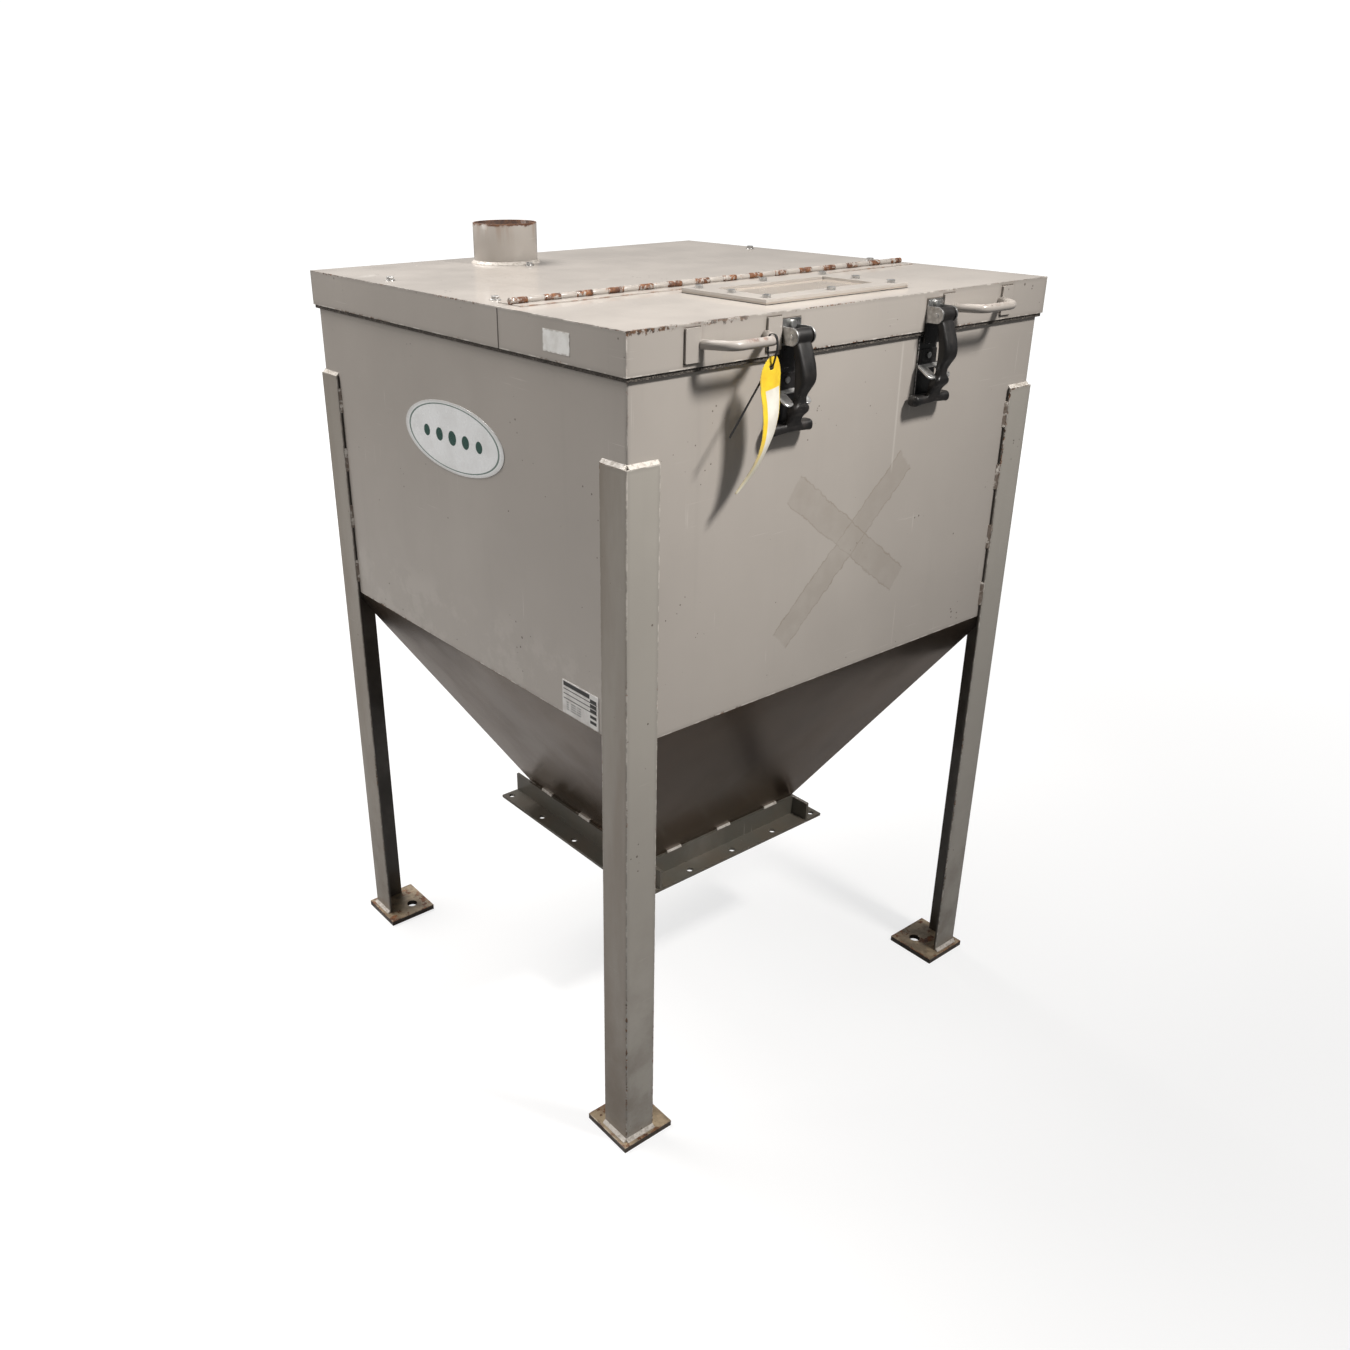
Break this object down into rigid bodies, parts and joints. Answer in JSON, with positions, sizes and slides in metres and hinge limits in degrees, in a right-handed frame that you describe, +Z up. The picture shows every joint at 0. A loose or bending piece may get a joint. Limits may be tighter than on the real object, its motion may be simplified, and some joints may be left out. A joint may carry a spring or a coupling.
{
  "type": "hopper bin",
  "caption": "Free-standing square hopper bin on angle legs, with a hinged front lid, sight window, rubber draw latches, top inlet stub and a drilled bottom outlet flange.",
  "frame": {"origin": "on the floor, at the centre of the four anchor holes, under the tank's centre", "axes": "+X to the right along the front, +Y from the latches to the inlet side, +Z up"},
  "size_m": [0.7914, 0.8265, 1.2367],
  "materials": {
    "body_paint": "semi-gloss",
    "foot_paint": "worn",
    "hopper_steel": "satin",
    "hinge_steel": "worn",
    "zinc": "bright",
    "black_plate": "satin",
    "strap_rubber": "matt",
    "seal_foam": "matt",
    "clear_pane": "clear",
    "badge_face": "gloss",
    "label_paper": "matt",
    "spec_foil": "satin",
    "tag_card": "matt",
    "tie_nylon": "satin"
  },
  "bodies": {
    "bin": {"tank_shell": "body_paint", "rear_cover": "body_paint", "inlet_stub": "body_paint", "stub_weld": "body_paint", "outlet_angle_left": "body_paint", "outlet_angle_right": "body_paint", "outlet_angle_front": "body_paint", "outlet_angle_back": "body_paint", "outlet_welds": "body_paint", "leg_welds": "body_paint", "foot_welds": "body_paint", "leg_front_left": "body_paint", "leg_front_right": "body_paint", "leg_back_left": "body_paint", "leg_back_right": "body_paint", "foot_plate_front_left": "foot_paint", "foot_plate_front_right": "foot_paint", "foot_plate_back_left": "foot_paint", "foot_plate_back_right": "foot_paint", "hopper_cone": "hopper_steel", "hinge_rear_leaf": "hinge_steel", "hinge_pin": "hinge_steel", "cover_bolts": "zinc", "cover_washers": "zinc", "cover_nuts": "zinc", "keeper_fork_left": "zinc", "keeper_fork_right": "zinc", "keeper_rivets": "zinc", "keeper_plate_left": "black_plate", "keeper_plate_right": "black_plate", "lid_gasket": "seal_foam", "rear_seal": "seal_foam", "oval_badge": "badge_face", "spec_plate": "spec_foil"},
    "lid": {"front_lid": "body_paint", "front_seal": "seal_foam", "window_gasket": "seal_foam", "window_pane": "clear_pane", "window_frame": "body_paint", "window_bolts": "zinc", "window_nuts": "zinc", "hinge_front_leaf": "hinge_steel", "handle_left": "body_paint", "handle_right": "body_paint", "latch_bracket_left": "zinc", "latch_bracket_right": "zinc", "latch_bolts": "zinc", "latch_pins": "zinc", "lid_label": "label_paper"},
    "latch_left": {"latch_strap_left": "strap_rubber"},
    "latch_right": {"latch_strap_right": "strap_rubber"},
    "tag": {"inventory_tag": "tag_card", "tag_tie": "tie_nylon"}
  },
  "joints": [
    {"name": "lid_hinge", "type": "hinge", "parent": "bin", "child": "lid", "pos_m": [0, -0.134, 1.1805], "axis": [-1, 0, 0], "range_deg": [0, 170]},
    {"name": "latch_left_swing", "type": "hinge", "parent": "lid", "child": "latch_left", "pos_m": [-0.135, -0.404, 1.148], "axis": [-1, 0, 0], "range_deg": [0, 100], "deforming": ["latch_strap_left"]},
    {"name": "latch_right_swing", "type": "hinge", "parent": "lid", "child": "latch_right", "pos_m": [0.135, -0.404, 1.148], "axis": [-1, 0, 0], "range_deg": [0, 100], "deforming": ["latch_strap_right"]},
    {"name": "tag_swing", "type": "hinge", "parent": "lid", "child": "tag", "pos_m": [-0.199, -0.4215, 1.1515], "axis": [-1, 0, 0], "range_deg": [-8, 80]}
  ]
}
